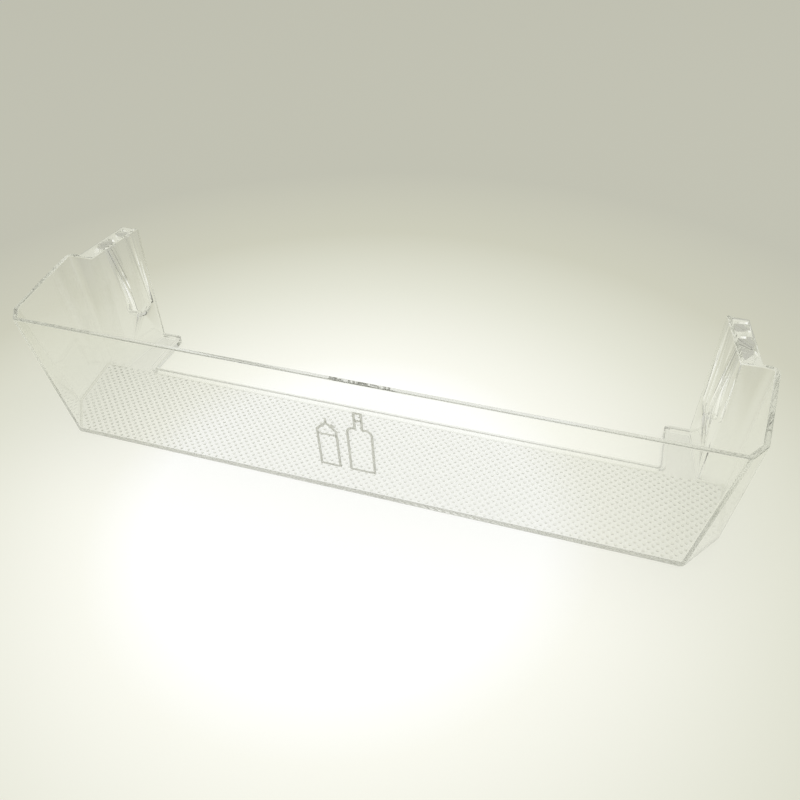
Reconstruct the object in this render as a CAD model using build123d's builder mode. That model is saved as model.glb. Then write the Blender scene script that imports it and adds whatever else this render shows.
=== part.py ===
"""Clear moulded shelf for a refrigerator door.

One injection-moulded piece: a shallow tray with leaning walls and cut-off front corners. At each
end the wall steps inward and runs on to the rear as an inset panel that passes between the ribs of
the door. A ledge along the top of that panel and a U-shaped key on its outer face hang the shelf in
the door. The rear is open between the panels, where only a low lip edges the floor.

The origin is the middle of the shelf's bounding box, on the plane it stands on. +X is the width,
-Y the front of the shelf and +Z up.
"""

import os
from math import cos, hypot, radians, sin, tan

from build123d import *

# Heights and wall
height = 92.0
wall = 3.0
lip_height = 5.5

# Outline at the foot: the front's half width, then how far each wall runs sideways and rearward
front_half = 193.8
corner_width = 19.0
corner_depth = 26.9
side_flare = 5.9
side_depth = 45.1
step_width = 16.9
panel_taper = 5.6
panel_depth = 37.5
tongue_width = 18.7

# Outward lean of the walls from upright, in degrees
front_lean = 2.6
corner_lean = 7.9
side_lean = 2.5
inset_lean = 1.6
rear_lean = 3.0

# Ledge along the top of each inset panel, and the U-shaped key under it
ledge_width = 9.0
ledge_thickness = 2.5
ledge_stop = 1.0
key_width = 16.5
key_wall = 2.2
key_depth = 8.0
key_bottom = 27.5
key_behind_step = 30.0

# Rounded upright edges, outside and inside the wall
corner_radius = 4.0
corner_inner_radius = 1.5
step_radius = 5.0
step_inner_radius = 2.0
tongue_radius = 3.5
tongue_inner_radius = 0.8
gap_radius = 2.5
gap_inner_radius = 5.5

# Rounded edges of the foot, the floor and the rim
foot_radius = 1.8
floor_radius = 1.5
rim_radius = 0.8

# Half widths and depths of the outline's corners, counted from the middle of the front edge
corner_half = front_half + corner_width
step_half = corner_half + side_flare
step_depth = corner_depth + side_depth
inset_half = step_half - step_width
inset_rear_half = inset_half - panel_taper
tongue_depth = step_depth + panel_depth
tongue_half = inset_rear_half - tongue_width

# Where the front edge of the foot lies, so that the bounding box is centred on the origin
front_overhang = height * tan(radians(front_lean))
rear_overhang = height * tan(radians(rear_lean))
front_edge = (front_overhang - tongue_depth - rear_overhang) / 2
foot = Plane((0, front_edge, 0))

# Outer face of the right inset panel, as a plane: X runs rearward, Y upward, Z outward
inset_length = hypot(panel_depth, panel_taper)
inset_side = Vector(panel_depth / inset_length, panel_taper / inset_length, 0)
inset_normal = inset_side * cos(radians(inset_lean)) - Vector(0, 0, sin(radians(inset_lean)))
inset_face = Plane(
    origin=(inset_half, front_edge + step_depth, 0),
    x_dir=(-panel_taper, panel_depth, 0),
    z_dir=inset_normal,
)

# Straight part of the key's legs, up into the ledge
key_rise = height - ledge_thickness / 2 - key_bottom - key_width / 2

# Corners of the right half of the outline, from the front round to the rear of the floor
outline = [
    (0, 0),
    (front_half, 0),
    (corner_half, corner_depth),
    (step_half, step_depth),
    (inset_half, step_depth),
    (inset_rear_half, tongue_depth),
    (tongue_half, tongue_depth),
    (tongue_half, step_depth),
    (0, step_depth),
]

# A point at the foot of each leaning wall, and the wall's lean
leaning_walls = [
    (0, 0, front_lean),
    ((corner_half + step_half) / 2, (corner_depth + step_depth) / 2, side_lean),
    ((front_half + corner_half) / 2, corner_depth / 2, corner_lean),
    ((inset_half + inset_rear_half) / 2, (step_depth + tongue_depth) / 2, inset_lean),
    ((inset_rear_half + tongue_half) / 2, tongue_depth, rear_lean),
]


def inset_x(depth: float, level: float, outward: float) -> float:
    """Half width of the inset panel's outer face at a depth and level, moved outward."""
    along = (depth - step_depth) / panel_depth
    sideways = (level * tan(radians(inset_lean)) + outward) * inset_length / panel_depth
    return inset_half - panel_taper * along + sideways


def lean_walls(moulding: BuildPart) -> None:
    """Turn the upright walls of a solid about their feet."""
    for across, depth, lean in leaning_walls:
        for side in {across, -across}:
            middle = foot.from_local_coords((side, depth, height / 2))
            draft(moulding.faces().sort_by_distance(middle)[0], foot, -lean)


def round_uprights(moulding: BuildPart, radii: list[tuple[float, float, float]]) -> None:
    """Round the edges that rise from corners of the foot, each by its own radius."""
    for across, depth, radius in radii:
        for side in (across, -across):
            corner = foot.from_local_coords((side, depth, height / 2))
            uprights = moulding.edges().filter_by(Plane.XY, reverse=True)
            fillet(uprights.sort_by_distance(corner)[0], radius)


# The hollow of the tray, over the floor and inside the walls
with BuildPart() as hollow:
    with BuildSketch(foot.offset(wall)):
        with BuildLine():
            Polyline(*outline)
            mirror(about=Plane.YZ)
        make_face()
        offset(amount=-wall, kind=Kind.INTERSECTION, mode=Mode.REPLACE)
    extrude(amount=height)
    lean_walls(hollow)
    round_uprights(
        hollow,
        [
            (front_half, 0, corner_inner_radius),
            (corner_half, corner_depth, corner_inner_radius),
            (step_half, step_depth, step_inner_radius),
            (tongue_half, tongue_depth, tongue_inner_radius),
            (tongue_half, step_depth, gap_inner_radius),
        ],
    )
    fillet(hollow.faces().sort_by(Axis.Z)[0].edges(), floor_radius)

# The gap left open at the rear, between the inner faces of the inset panels and above the lip
with BuildPart() as rear_gap:
    with BuildSketch(foot.offset(lip_height)):
        with Locations((0, step_depth - 2 * wall)):
            Rectangle(step_half, tongue_depth, align=(Align.MIN, Align.MIN))
    extrude(amount=height)
    split(bisect_by=inset_face.offset(-wall * cos(radians(inset_lean))), keep=Keep.BOTTOM)
    mirror(about=Plane.YZ)

# The ledge and the key of the right inset panel, rooted in the panel's wall
with BuildPart() as hanger:
    with BuildSketch(foot.offset(height - ledge_thickness)):
        with BuildLine():
            ledge_front = step_depth - wall / 2
            ledge_rear = tongue_depth + rear_overhang - ledge_stop
            Polyline(
                (inset_x(ledge_front, height, -wall / 2), ledge_front),
                (inset_x(ledge_front, height, ledge_width), ledge_front),
                (inset_x(ledge_rear, height, ledge_width), ledge_rear),
                (inset_x(ledge_rear, height, -wall / 2), ledge_rear),
                close=True,
            )
        make_face()
    extrude(amount=ledge_thickness)
    with BuildSketch(inset_face.offset(-wall / 2)):
        with Locations((key_behind_step, key_bottom + key_width / 2)):
            Circle(key_width / 2)
            Rectangle(key_width, key_rise, align=(Align.CENTER, Align.MIN))
            Circle(key_width / 2 - key_wall, mode=Mode.SUBTRACT)
            Rectangle(key_width - 2 * key_wall, key_rise, align=(Align.CENTER, Align.MIN), mode=Mode.SUBTRACT)
    extrude(amount=wall / 2 + key_depth)

with BuildPart() as door_shelf:
    with BuildSketch(foot):
        with BuildLine():
            Polyline(*outline)
            mirror(about=Plane.YZ)
        make_face()
    extrude(amount=height)
    lean_walls(door_shelf)
    round_uprights(
        door_shelf,
        [
            (front_half, 0, corner_radius),
            (corner_half, corner_depth, corner_radius),
            (step_half, step_depth, step_radius),
            (tongue_half, tongue_depth, tongue_radius),
            (tongue_half, step_depth, gap_radius),
        ],
    )
    fillet(door_shelf.faces().sort_by(Axis.Z)[0].edges(), foot_radius)
    add(hollow.part, mode=Mode.SUBTRACT)
    add(rear_gap.part, mode=Mode.SUBTRACT)
    add(hanger.part)
    mirror(hanger.part, about=Plane.YZ)
    fillet(door_shelf.faces().sort_by(Axis.Z)[-1].edges(), rim_radius)

door_shelf.part.label = "door_shelf"
os.makedirs("parts", exist_ok=True)
export_step(door_shelf.part, "parts/door_shelf.step")
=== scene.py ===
"""Looks of a clear moulded fridge door shelf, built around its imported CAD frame.

The shelf is one clear moulding. Its floor carries a lattice of small moulded dots, and its front
wall carries two printed signs, a drink carton and a bottle. Sizes are in metres.
"""

import logging
import math
from dataclasses import dataclass
from enum import Enum
from typing import Any

import bmesh
import bpy
from mathutils import Matrix, Vector


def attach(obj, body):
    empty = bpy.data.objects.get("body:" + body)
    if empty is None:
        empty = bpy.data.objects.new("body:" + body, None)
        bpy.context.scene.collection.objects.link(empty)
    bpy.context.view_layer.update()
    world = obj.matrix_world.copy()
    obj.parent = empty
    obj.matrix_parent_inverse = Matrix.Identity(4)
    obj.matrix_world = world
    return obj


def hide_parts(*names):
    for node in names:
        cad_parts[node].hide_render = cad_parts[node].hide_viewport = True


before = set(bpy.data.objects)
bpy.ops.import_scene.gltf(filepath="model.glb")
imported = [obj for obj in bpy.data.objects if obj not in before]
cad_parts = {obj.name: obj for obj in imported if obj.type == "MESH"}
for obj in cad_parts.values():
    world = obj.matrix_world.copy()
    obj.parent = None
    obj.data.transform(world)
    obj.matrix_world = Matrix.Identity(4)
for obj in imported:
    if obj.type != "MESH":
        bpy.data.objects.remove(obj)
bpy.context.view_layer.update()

LOG = logging.getLogger("door_shelf")
MM = 0.001
BODY = "root"
FROST_AND_SHADE = "frost_and_shade"
FRONT_EDGE = -55.07 * MM
CLEAR_BOUNCES = 64
MATT_BOUNCES = 1
SMOOTH_NOISE = 1.0
FINE_NOISE = 3.0

Colour = tuple[float, float, float]


class Sock:
    """A shader value that takes part in Python arithmetic."""

    def __init__(self, shader: "Shader", socket: bpy.types.NodeSocket) -> None:
        """Keep the shader that owns the socket, and the socket."""
        self.shader = shader
        self.socket = socket

    def _math(self, operation: str, first: Any, second: Any) -> "Sock":
        """Add one Math node.

        Args:
            operation: the Math node's operation.
            first: its first value, a number or a Sock.
            second: its second value, a number or a Sock.

        Returns:
            The node's value.
        """
        node = self.shader.node("ShaderNodeMath", {"operation": operation}, {0: first, 1: second})
        return Sock(self.shader, node.outputs[0])

    def __add__(self, other: Any) -> "Sock":
        """Sum of two values."""
        return self._math("ADD", self, other)

    def __radd__(self, other: Any) -> "Sock":
        """Sum of a number and this value."""
        return self._math("ADD", other, self)

    def __mul__(self, other: Any) -> "Sock":
        """Product of two values."""
        return self._math("MULTIPLY", self, other)

    def __rmul__(self, other: Any) -> "Sock":
        """Product of a number and this value."""
        return self._math("MULTIPLY", other, self)

    def __truediv__(self, other: Any) -> "Sock":
        """Quotient of two values."""
        return self._math("DIVIDE", self, other)

    def largest(self, other: Any) -> "Sock":
        """The larger of two values."""
        return self._math("MAXIMUM", self, other)


class Shader:
    """A node tree of a material or of the world, and the ways to add to it."""

    def __init__(self, tree: bpy.types.NodeTree) -> None:
        """Empty the tree that is to be filled."""
        self.tree = tree
        tree.nodes.clear()

    @classmethod
    def of_material(cls, name: str) -> tuple["Shader", bpy.types.Material]:
        """Make a new material and the shader that fills it.

        Args:
            name: the material's name.

        Returns:
            The shader and the material.
        """
        material = bpy.data.materials.new(name)
        material.use_nodes = True
        return cls(material.node_tree), material

    def node(self, kind: str, settings: dict[str, Any], inputs: dict[Any, Any]) -> bpy.types.Node:
        """Add one node.

        Args:
            kind: the node's type name.
            settings: attributes of the node, set first. "stops" fills a ramp.
            inputs: values, Socks or sockets, by the name or number of the input.

        Returns:
            The new node.
        """
        node = self.tree.nodes.new(kind)
        for name, value in settings.items():
            if name == "stops":
                self._fill_ramp(node.color_ramp, value)
            else:
                setattr(node, name, value)
        for name, value in inputs.items():
            if isinstance(value, Sock):
                self.tree.links.new(value.socket, node.inputs[name])
            elif isinstance(value, bpy.types.NodeSocket):
                self.tree.links.new(value, node.inputs[name])
            else:
                node.inputs[name].default_value = value
        return node

    @staticmethod
    def _fill_ramp(ramp: bpy.types.ColorRamp, stops: list[tuple[float, Colour]]) -> None:
        """Give a colour ramp its stops, from first to last.

        Args:
            ramp: the ramp to fill.
            stops: each stop's place, from 0 to 1, and its colour.
        """
        while len(ramp.elements) < len(stops):
            ramp.elements.new(1.0)
        for element, (place, colour) in zip(ramp.elements, stops):
            element.position = place
            element.color = rgba(colour)

    def value(self, node: bpy.types.Node, output: Any = 0) -> Sock:
        """One output of a node, as a value."""
        return Sock(self, node.outputs[output])

    def place(self) -> bpy.types.NodeSocket:
        """Object coordinates."""
        return self.node("ShaderNodeTexCoord", {}, {}).outputs["Object"]

    def attribute(self, name: str) -> Sock:
        """A number that the piece's own mesh carries."""
        settings = {"attribute_type": "GEOMETRY", "attribute_name": name}
        return self.value(self.node("ShaderNodeAttribute", settings, {}), "Fac")

    def noise(self, scale: float, detail: float = 2.0) -> Sock:
        """Soft noise over the object.

        Args:
            scale: spots in a metre.
            detail: finer layers of the noise.

        Returns:
            A value from 0 to 1.
        """
        settings = {"noise_dimensions": "3D"}
        inputs = {"Vector": self.place(), "Scale": scale, "Detail": detail}
        return self.value(self.node("ShaderNodeTexNoise", settings, inputs), "Fac")

    def mix(self, share: Any, first: Any, second: Any) -> bpy.types.NodeSocket:
        """Blend two colours.

        Args:
            share: how much of the second colour, from 0 to 1.
            first: a colour with alpha, or a colour socket.
            second: a colour with alpha, or a colour socket.

        Returns:
            The blended colour's socket.
        """
        settings = {"data_type": "RGBA", "blend_type": "MIX"}
        node = self.node("ShaderNodeMix", settings, {0: share, 6: first, 7: second})
        return node.outputs[2]

    def bump(self, height: Sock, strength: float, distance: float) -> bpy.types.NodeSocket:
        """Normal of a surface that follows a height.

        Args:
            height: the height, from 0 to 1.
            strength: how much of it shows.
            distance: the height's size in metres.

        Returns:
            The normal's socket.
        """
        inputs = {"Strength": strength, "Distance": distance, "Height": height}
        return self.node("ShaderNodeBump", {}, inputs).outputs["Normal"]

    def finish(
        self,
        surface: bpy.types.Node,
        kind: str = "ShaderNodeOutputMaterial",
        volume: bpy.types.Node | None = None,
    ) -> None:
        """Send shaders to the tree's output.

        Args:
            surface: the surface's shader.
            kind: the output's type name.
            volume: the body's shader, if it has one.
        """
        inputs = {"Surface": surface.outputs[0]}
        if volume is not None:
            inputs["Volume"] = volume.outputs[0]
        self.node(kind, {}, inputs)


def rgba(colour: Colour) -> tuple[float, float, float, float]:
    """A colour with full alpha."""
    return (*colour, 1.0)


@dataclass(frozen=True)
class ClearPlastic:
    """Polished clear styrene with the waves and haze of moulding. Its dots and floor border are rougher
    and carry a darker tint, which is painted shade.
    """

    name: str = "clear_styrene"
    clear: Colour = (0.995, 0.996, 0.99)
    dense: Colour = (0.98, 0.983, 0.968)
    # The darker tint of the dots and floor border: painted shade.
    painted_shade: Colour = (0.85, 0.855, 0.81)
    body: Colour = (0.70, 0.72, 0.62)
    density: float = 3.2
    ior: float = 1.55
    haze: float = 0.012
    haze_spread: float = 0.03
    frost_haze: float = 0.16
    flow_scale: float = 14.0
    grain_scale: float = 420.0
    wave_scale: float = 38.0
    wave_share: float = 0.05
    wave_height: float = 0.4 * MM

    def material(self) -> bpy.types.Material:
        """Make the material.

        Returns:
            The clear plastic.
        """
        shader, material = Shader.of_material(self.name)
        flow = shader.noise(self.flow_scale, SMOOTH_NOISE)
        grain = shader.noise(self.grain_scale, FINE_NOISE)
        waves = shader.noise(self.wave_scale, SMOOTH_NOISE)
        # The marked faces get more roughness and a darker tint, painted shade for the dark that their
        # refraction shows.
        frost_and_shade = shader.attribute(FROST_AND_SHADE)
        tint = shader.mix(flow, rgba(self.clear), rgba(self.dense))
        haze = self.haze + self.haze_spread * grain * flow
        surface = shader.node(
            "ShaderNodeBsdfPrincipled",
            {},
            {
                "Base Color": shader.mix(frost_and_shade, tint, rgba(self.painted_shade)),
                "Roughness": haze + self.frost_haze * frost_and_shade,
                "IOR": self.ior,
                "Transmission Weight": 1.0,
                "Normal": shader.bump(waves, self.wave_share, self.wave_height),
            },
        )
        body = shader.node(
            "ShaderNodeVolumeAbsorption",
            {},
            {"Color": rgba(self.body), "Density": self.density},
        )
        shader.finish(surface, volume=body)
        return material


@dataclass(frozen=True)
class PrintedInk:
    """Thin grey ink, laid down a little unevenly."""

    name: str = "grey_print"
    full: Colour = (0.86, 0.87, 0.80)
    thin: Colour = (0.95, 0.955, 0.90)
    cover: float = 0.52
    ior: float = 1.45
    coverage_scale: float = 160.0
    speckle_scale: float = 1500.0
    speckle_share: float = 0.3
    haze: float = 0.4
    haze_spread: float = 0.25
    grit_share: float = 0.25
    grit_height: float = 0.03 * MM

    def material(self) -> bpy.types.Material:
        """Make the material.

        Returns:
            The ink.
        """
        shader, material = Shader.of_material(self.name)
        speckle = shader.noise(self.speckle_scale, FINE_NOISE)
        coverage = shader.noise(self.coverage_scale)
        wear = (1.0 - self.speckle_share) * coverage + self.speckle_share * speckle
        surface = shader.node(
            "ShaderNodeBsdfPrincipled",
            {},
            {
                "Base Color": shader.mix(wear, rgba(self.full), rgba(self.thin)),
                "Roughness": self.haze + self.haze_spread * speckle,
                "IOR": self.ior,
                "Alpha": self.cover,
                "Normal": shader.bump(speckle, self.grit_share, self.grit_height),
            },
        )
        shader.finish(surface)
        return material


@dataclass(frozen=True)
class Tabletop:
    """Pale matt card, with a painted pool of light round the shelf that dims away from it."""

    name: str = "card_painted_light_pool"
    # near to far: painted light, a pool of light round the shelf that dims towards the far colour.
    near: Colour = (0.985, 0.99, 0.965)
    middle: Colour = (0.90, 0.90, 0.825)
    side: Colour = (0.725, 0.73, 0.632)
    edge: Colour = (0.575, 0.575, 0.473)
    far: Colour = (0.50, 0.50, 0.422)
    near_end: float = 0.25
    middle_at: float = 0.32
    side_at: float = 0.52
    edge_at: float = 0.72
    centre: tuple[float, float] = (0.0, -0.069)
    reach: float = 0.47
    fibre_scale: float = 900.0
    fibre_share: float = 0.03
    glow: float = 0.85
    brightness: float = 1.08

    def material(self) -> bpy.types.Material:
        """Make the material.

        Returns:
            The card.
        """
        shader, material = Shader.of_material(self.name)
        away = shader.node(
            "ShaderNodeVectorMath",
            {"operation": "DISTANCE"},
            {0: shader.place(), 1: (*self.centre, 0.0)},
        )
        stops = [
            (0.0, self.near),
            (self.near_end, self.near),
            (self.middle_at, self.middle),
            (self.side_at, self.side),
            (self.edge_at, self.edge),
            (1.0, self.far),
        ]
        # The ramp paints the pool of light: brightest near the shelf, darker further off.
        distance = shader.value(away, "Value") / self.reach
        ramp = shader.node("ShaderNodeValToRGB", {"stops": stops}, {"Fac": distance})
        fibre = shader.noise(self.fibre_scale, FINE_NOISE)
        colour = shader.mix(self.fibre_share * fibre, ramp.outputs["Color"], rgba(self.far))
        matt = shader.node("ShaderNodeBsdfDiffuse", {}, {"Color": colour, "Roughness": 0.0})
        glow = shader.node("ShaderNodeEmission", {}, {"Color": colour, "Strength": self.brightness})
        light = shader.node("ShaderNodeLightPath", {}, {})
        seen = shader.value(light, "Is Camera Ray").largest(shader.value(light, "Is Glossy Ray"))
        seen = seen.largest(shader.value(light, "Is Transmission Ray"))
        surface = shader.node(
            "ShaderNodeMixShader",
            {},
            {0: self.glow * seen, 1: matt.outputs[0], 2: glow.outputs[0]},
        )
        shader.finish(surface)
        return material


def new_piece(name: str, mesh: bmesh.types.BMesh, material: bpy.types.Material) -> bpy.types.Object:
    """Turn a finished bmesh into an object in the scene.

    Args:
        name: the piece's name.
        mesh: its shape, which is freed.
        material: its finish.

    Returns:
        The new object.
    """
    data = bpy.data.meshes.new(name)
    mesh.to_mesh(data)
    mesh.free()
    data.materials.append(material)
    piece = bpy.data.objects.new(name, data)
    bpy.context.scene.collection.objects.link(piece)
    return piece


@dataclass
class ClearShelf:
    """The clear moulding, with the dots of its floor."""

    node: str = "door_shelf"
    slot: str = "clear_plastic"
    wall: float = 3.0 * MM
    front_half: float = 193.8 * MM
    corner_half: float = 212.8 * MM
    corner_depth: float = 26.9 * MM
    step_half: float = 218.7 * MM
    step_depth: float = 72.0 * MM
    dot_pitch: float = 2.5 * MM
    dot_radius: float = 1.1 * MM
    dot_height: float = 0.56 * MM
    dot_root: float = 0.3 * MM
    dot_margin: float = 1.9 * MM
    dot_sides: int = 8
    dot_rings: int = 12
    first_row: float = 5.0 * MM
    rows: int = 26
    border_low: float = 0.02 * MM
    border_high: float = 1.5 * MM
    merge: float = 0.001 * MM
    sharp: float = math.radians(40.0)

    def floor_half(self, depth: float) -> float:
        """Half width of the dotted floor at a depth behind the front edge.

        Args:
            depth: distance behind the front edge.

        Returns:
            The largest distance of a dot's centre from the middle.
        """
        corner_run = (self.corner_half - self.front_half) / self.corner_depth
        side_run = (self.step_half - self.corner_half) / (self.step_depth - self.corner_depth)
        gap = self.wall + self.dot_margin
        corner = self.front_half + corner_run * depth - gap * math.hypot(1.0, corner_run)
        side = self.corner_half + side_run * (depth - self.corner_depth) - gap * math.hypot(1.0, side_run)
        return min(corner, side)

    def on_floor(self, across: float, depth: float) -> bool:
        """Whether a place lies among the dots of the floor.

        Args:
            across: distance from the middle.
            depth: distance behind the front edge.

        Returns:
            True where a dot may reach.
        """
        first = self.first_row - self.dot_radius
        last = self.first_row + (self.rows - 1) * self.dot_pitch + self.dot_radius
        return first < depth < last and abs(across) < self.floor_half(depth) + self.dot_radius

    def dot(self) -> bmesh.types.BMesh:
        """Model one dot at the origin, as a cap of a sphere with a root below the floor.

        Returns:
            The dot's shape, with z = 0 on the floor.
        """
        radius = (self.dot_radius**2 + self.dot_height**2) / (2.0 * self.dot_height)
        shape = bmesh.new()
        bmesh.ops.create_uvsphere(
            shape, u_segments=self.dot_sides, v_segments=self.dot_rings, radius=radius
        )
        bmesh.ops.translate(shape, verts=shape.verts, vec=(0.0, 0.0, self.dot_height - radius))
        cut = bmesh.ops.bisect_plane(
            shape,
            geom=[*shape.verts, *shape.edges, *shape.faces],
            plane_co=(0.0, 0.0, -self.dot_root),
            plane_no=(0.0, 0.0, 1.0),
            clear_inner=True,
        )
        rim = [item for item in cut["geom_cut"] if isinstance(item, bmesh.types.BMEdge)]
        bmesh.ops.holes_fill(shape, edges=rim, sides=0)
        bmesh.ops.recalc_face_normals(shape, faces=shape.faces)
        return shape

    def dots(self) -> bmesh.types.BMesh:
        """Set out the dots over the floor, each row shifted by half a pitch.

        Returns:
            All the dots in place.
        """
        stamp = bpy.data.meshes.new("dot")
        dot = self.dot()
        dot.to_mesh(stamp)
        dot.free()
        shape = bmesh.new()
        at = Vector()
        for row in range(self.rows):
            depth = self.first_row + row * self.dot_pitch
            reach = int(self.floor_half(depth) / self.dot_pitch)
            for column in range(-reach, reach + 1):
                if (row + column) % 2:
                    place = Vector((column * self.dot_pitch, FRONT_EDGE + depth, self.wall))
                    stamp.transform(Matrix.Translation(place - at))
                    shape.from_mesh(stamp, face_normals=False, vertex_normals=False)
                    at = place
        bpy.data.meshes.remove(stamp)
        shape.normal_update()
        return shape

    def frost_and_shade(self, moulding: bpy.types.Mesh) -> None:
        """Mark the dots and the rounded border round them, which the plastic makes rougher and tints
        darker as painted shade.

        Args:
            moulding: the mesh of the moulding with its dots.
        """
        # The marked faces get the darker tint of painted shade.
        marks = moulding.attributes.new(FROST_AND_SHADE, "FLOAT", "FACE")
        for face, mark in zip(moulding.polygons, marks.data):
            depth = face.center.y - FRONT_EDGE
            above = face.center.z - self.wall
            on_dot = self.on_floor(face.center.x, depth) and self.border_low < above < self.dot_height
            at_end = depth < self.step_depth and abs(face.center.x) > self.floor_half(depth)
            on_border = at_end and self.border_low < above < self.border_high
            mark.value = float(on_dot or on_border)

    def build(self, plastic: bpy.types.Material) -> bpy.types.Object:
        """Join the dots to a copy of the moulding, and smooth its rounded edges.

        Args:
            plastic: the clear plastic.

        Returns:
            The finished moulding, which stands for the CAD node.
        """
        moulding = bmesh.new()
        moulding.from_mesh(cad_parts[self.node].data)
        bmesh.ops.remove_doubles(moulding, verts=moulding.verts, dist=self.merge)
        piece = new_piece("clear_shelf", moulding, plastic)
        dots = new_piece("floor_dots", self.dots(), plastic)
        join = piece.modifiers.new("join_dots", "BOOLEAN")
        join.operation = "UNION"
        join.solver = "MANIFOLD"
        join.object = dots
        graph = bpy.context.evaluated_depsgraph_get()
        joined = bpy.data.meshes.new_from_object(piece.evaluated_get(graph))
        piece.modifiers.clear()
        piece.data = joined
        bpy.data.objects.remove(dots)
        self.frost_and_shade(joined)
        joined.shade_smooth()
        joined.set_sharp_from_angle(angle=self.sharp)
        weigh = piece.modifiers.new("flat_walls", "WEIGHTED_NORMAL")
        weigh.mode = "FACE_AREA"
        weigh.keep_sharp = True
        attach(piece, BODY)
        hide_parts(self.node)
        LOG.info("clear_shelf: %d faces", len(joined.polygons))
        return piece


class Sign(Enum):
    """The two signs printed on the front wall."""

    CARTON = "carton_sign"
    BOTTLE = "bottle_sign"


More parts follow.
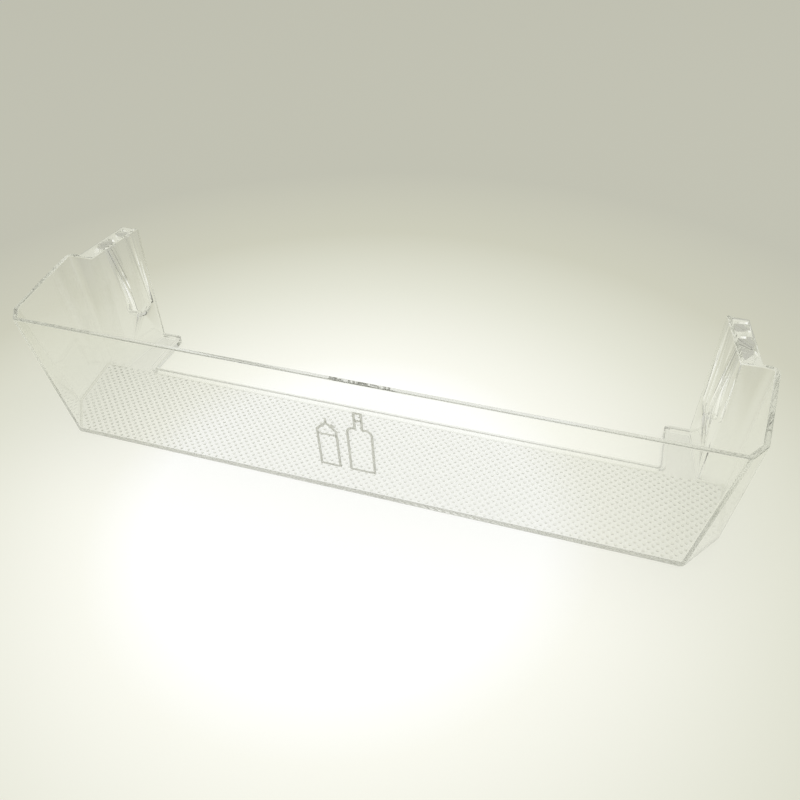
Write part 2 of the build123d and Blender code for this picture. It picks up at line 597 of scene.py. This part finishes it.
@dataclass
class PrintedSigns:
    """The printed outlines of a drink carton and a bottle, on the leaning front wall."""

    lean: float = math.radians(2.6)
    stroke: float = 1.6 * MM
    thin_stroke: float = 1.28 * MM
    ink: float = 0.08 * MM
    sink: float = 0.03 * MM
    foot: float = 22.7 * MM
    carton_left: float = -16.6 * MM
    carton_right: float = -3.3 * MM
    carton_shoulder: float = 52.5 * MM
    carton_fold: float = 48.7 * MM
    carton_peak: float = 59.2 * MM
    ridge_rise: float = 4.16 * MM
    cap_from: float = 0.34
    cap_to: float = 0.68
    bottle_left: float = 2.0 * MM
    bottle_right: float = 18.2 * MM
    bottle_shoulder: float = 58.8 * MM
    bottle_round: float = 4.6 * MM
    foot_round: float = 1.2 * MM
    neck_left: float = 6.8 * MM
    neck_right: float = 12.7 * MM
    neck_top: float = 71.0 * MM
    cap_line: float = 64.6 * MM
    round_steps: int = 5

    def wall_frame(self) -> Matrix:
        """Place of the signs: X along the wall, Y up the wall, Z out of it.

        Returns:
            The turn and move from the signs' own frame to the wall.
        """
        up = Vector((0.0, -math.sin(self.lean), math.cos(self.lean)))
        out = Vector((0.0, -math.cos(self.lean), -math.sin(self.lean)))
        turn = Matrix((Vector((1.0, 0.0, 0.0)), up, out)).transposed().to_4x4()
        origin = Vector((0.0, FRONT_EDGE, 0.0)) - out * self.sink
        return Matrix.Translation(origin) @ turn

    def ring(self, shape: bmesh.types.BMesh, corners: list[tuple[float, float, float]]) -> None:
        """Draw a closed outline of one stroke's width.

        Args:
            shape: the sign that the outline is added to.
            corners: each corner's x, y and rounding radius, in order.
        """
        outline = bmesh.new()
        points = [outline.verts.new((x, y, 0.0)) for x, y, _ in corners]
        outline.faces.new(points)
        outline.normal_update()
        for point, (_, _, radius) in zip(points, corners):
            if radius > 0.0:
                bmesh.ops.bevel(
                    outline,
                    geom=[point],
                    offset=radius,
                    offset_type="OFFSET",
                    segments=self.round_steps,
                    profile=0.5,
                    affect="VERTICES",
                    material=-1,
                )
        inner = list(outline.faces)
        bmesh.ops.inset_region(
            outline, faces=inner, thickness=self.stroke, use_boundary=True, use_even_offset=True
        )
        bmesh.ops.delete(outline, geom=inner, context="FACES_ONLY")
        raised = bmesh.ops.extrude_face_region(outline, geom=list(outline.faces))
        top = [item for item in raised["geom"] if isinstance(item, bmesh.types.BMVert)]
        bmesh.ops.translate(outline, verts=top, vec=(0.0, 0.0, self.ink))
        bmesh.ops.recalc_face_normals(outline, faces=outline.faces)
        data = bpy.data.meshes.new("outline")
        outline.to_mesh(data)
        outline.free()
        shape.from_mesh(data)
        bpy.data.meshes.remove(data)

    def bar(self, shape: bmesh.types.BMesh, start: Vector, end: Vector, width: float) -> None:
        """Draw a straight stroke.

        Args:
            shape: the sign that the stroke is added to.
            start: one end of its middle line.
            end: the other end.
            width: its width.
        """
        run = end - start
        turn = Matrix.Rotation(math.atan2(run.y, run.x), 4, "Z")
        size = Matrix.Diagonal((run.length, width, self.ink, 1.0))
        middle = (start + end) / 2.0
        middle.z = self.ink / 2.0
        bmesh.ops.create_cube(shape, size=1.0, matrix=Matrix.Translation(middle) @ turn @ size)

    def carton(self) -> bmesh.types.BMesh:
        """Draw the carton: an upright body, a gable, its fold, its ridge and a cap.

        Returns:
            The sign's shape in the wall's own frame.
        """
        shape = bmesh.new()
        middle = (self.carton_left + self.carton_right) / 2.0
        self.ring(
            shape,
            [
                (self.carton_left, self.foot, 0.0),
                (self.carton_right, self.foot, 0.0),
                (self.carton_right, self.carton_shoulder, 0.0),
                (middle, self.carton_peak, 0.0),
                (self.carton_left, self.carton_shoulder, 0.0),
            ],
        )
        half = self.stroke / 2.0
        left = Vector((self.carton_left + half, self.carton_fold, 0.0))
        right = Vector((self.carton_right - half, self.carton_fold, 0.0))
        self.bar(shape, left, right, self.thin_stroke)
        ridge = Vector((middle, self.carton_peak - self.stroke, 0.0))
        self.bar(shape, ridge, ridge + Vector((0.0, self.ridge_rise, 0.0)), self.thin_stroke)
        slope = Vector((self.carton_right - middle, self.carton_shoulder - self.carton_peak, 0.0))
        across = Vector((-slope.y, slope.x, 0.0)).normalized() * half
        cap = Vector((middle, self.carton_peak, 0.0)) + across
        self.bar(shape, cap + slope * self.cap_from, cap + slope * self.cap_to, self.stroke)
        return shape

    def bottle(self) -> bmesh.types.BMesh:
        """Draw the bottle: a body with round shoulders, a neck and the line of its cap.

        Returns:
            The sign's shape in the wall's own frame.
        """
        shape = bmesh.new()
        self.ring(
            shape,
            [
                (self.bottle_left, self.foot, self.foot_round),
                (self.bottle_right, self.foot, self.foot_round),
                (self.bottle_right, self.bottle_shoulder, self.bottle_round),
                (self.neck_right, self.bottle_shoulder, 0.0),
                (self.neck_right, self.neck_top, 0.0),
                (self.neck_left, self.neck_top, 0.0),
                (self.neck_left, self.bottle_shoulder, 0.0),
                (self.bottle_left, self.bottle_shoulder, self.bottle_round),
            ],
        )
        half = self.stroke / 2.0
        left = Vector((self.neck_left + half, self.cap_line, 0.0))
        right = Vector((self.neck_right - half, self.cap_line, 0.0))
        self.bar(shape, left, right, self.stroke)
        return shape

    def build(self, ink: bpy.types.Material) -> None:
        """Print both signs on the wall.

        Args:
            ink: the print's finish.
        """
        for sign in Sign:
            shape = self.carton() if sign is Sign.CARTON else self.bottle()
            bmesh.ops.transform(shape, matrix=self.wall_frame(), verts=shape.verts)
            piece = new_piece(sign.value, shape, ink)
            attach(piece, BODY)
            LOG.info("%s: %d faces", piece.name, len(piece.data.polygons))


@dataclass
class Studio:
    """Pale table, soft light and the camera."""

    table_half: float = 4.0
    table_drop: float = 0.3 * MM
    camera_place: tuple[float, float, float] = (0.1325, -0.3447, 0.3476)
    yaw: float = math.radians(18.83)
    pitch: float = math.radians(40.83)
    roll: float = math.radians(-1.72)
    lens: float = 34.49
    sensor: float = 36.0
    nearest: float = 0.01
    sky_low: Colour = (0.54, 0.54, 0.475)
    sky_high: Colour = (0.80, 0.80, 0.77)
    sky_low_end: float = 0.45
    sky_high_at: float = 0.95
    lamp_place: tuple[float, float, float] = (0.35, 0.25, 1.6)
    lamp_size: float = 1.4
    lamp_watts: float = 14.0

    def table(self, card: bpy.types.Material) -> None:
        """Lay the table under the shelf.

        Args:
            card: the table's finish.
        """
        shape = bmesh.new()
        bmesh.ops.create_grid(shape, x_segments=1, y_segments=1, size=self.table_half)
        bmesh.ops.translate(shape, verts=shape.verts, vec=(0.0, 0.0, -self.table_drop))
        new_piece("table", shape, card)

    def camera(self) -> None:
        """Look at the shelf as the photograph does."""
        ahead = Vector(
            (
                -math.sin(self.yaw) * math.cos(self.pitch),
                math.cos(self.yaw) * math.cos(self.pitch),
                -math.sin(self.pitch),
            )
        )
        level = Vector((math.cos(self.yaw), math.sin(self.yaw), 0.0))
        right = math.cos(self.roll) * level + math.sin(self.roll) * level.cross(ahead)
        up = right.cross(ahead)
        turn = Matrix((right, up, -ahead)).transposed().to_4x4()
        data = bpy.data.cameras.new("camera")
        data.sensor_fit = "HORIZONTAL"
        data.sensor_width = self.sensor
        data.lens = self.lens
        data.clip_start = self.nearest
        camera = bpy.data.objects.new("camera", data)
        camera.matrix_world = Matrix.Translation(self.camera_place) @ turn
        bpy.context.scene.collection.objects.link(camera)
        bpy.context.scene.camera = camera

    def sky(self) -> None:
        """Hang a pale sky that dims towards the horizon."""
        world = bpy.data.worlds.new("studio")
        world.use_nodes = True
        bpy.context.scene.world = world
        shader = Shader(world.node_tree)
        direction = shader.node("ShaderNodeTexCoord", {}, {}).outputs["Generated"]
        parts = shader.node("ShaderNodeSeparateXYZ", {}, {"Vector": direction})
        stops = [
            (0.0, self.sky_low),
            (self.sky_low_end, self.sky_low),
            (self.sky_high_at, self.sky_high),
        ]
        ramp = shader.node("ShaderNodeValToRGB", {"stops": stops}, {"Fac": shader.value(parts, "Z")})
        sky = shader.node("ShaderNodeBackground", {}, {"Color": ramp.outputs["Color"], "Strength": 1.0})
        shader.finish(sky, "ShaderNodeOutputWorld")

    def lamp(self) -> None:
        """Hang one soft lamp, which the clear plastic doesn't mirror."""
        light = bpy.data.lights.new("soft_lamp", "AREA")
        light.shape = "DISK"
        light.size = self.lamp_size
        light.energy = self.lamp_watts
        holder = bpy.data.objects.new("soft_lamp", light)
        holder.location = self.lamp_place
        aim = -Vector(self.lamp_place)
        holder.rotation_euler = aim.to_track_quat("-Z", "Y").to_euler()
        holder.visible_glossy = False
        holder.visible_transmission = False
        bpy.context.scene.collection.objects.link(holder)


def set_render() -> None:
    """Show colours as they are written, and let light pass far through the clear walls."""
    scene = bpy.context.scene
    scene.view_settings.view_transform = "Standard"
    scene.cycles.max_bounces = CLEAR_BOUNCES
    scene.cycles.transmission_bounces = CLEAR_BOUNCES
    scene.cycles.glossy_bounces = CLEAR_BOUNCES
    scene.cycles.diffuse_bounces = MATT_BOUNCES


def main() -> None:
    """Build the shelf, its signs and the studio."""
    logging.basicConfig(level=logging.INFO, format="%(name)s: %(message)s")
    ClearShelf().build(ClearPlastic().material())
    PrintedSigns().build(PrintedInk().material())
    studio = Studio()
    studio.table(Tabletop().material())
    studio.sky()
    studio.lamp()
    studio.camera()
    set_render()


if __name__ == "__main__":
    main()
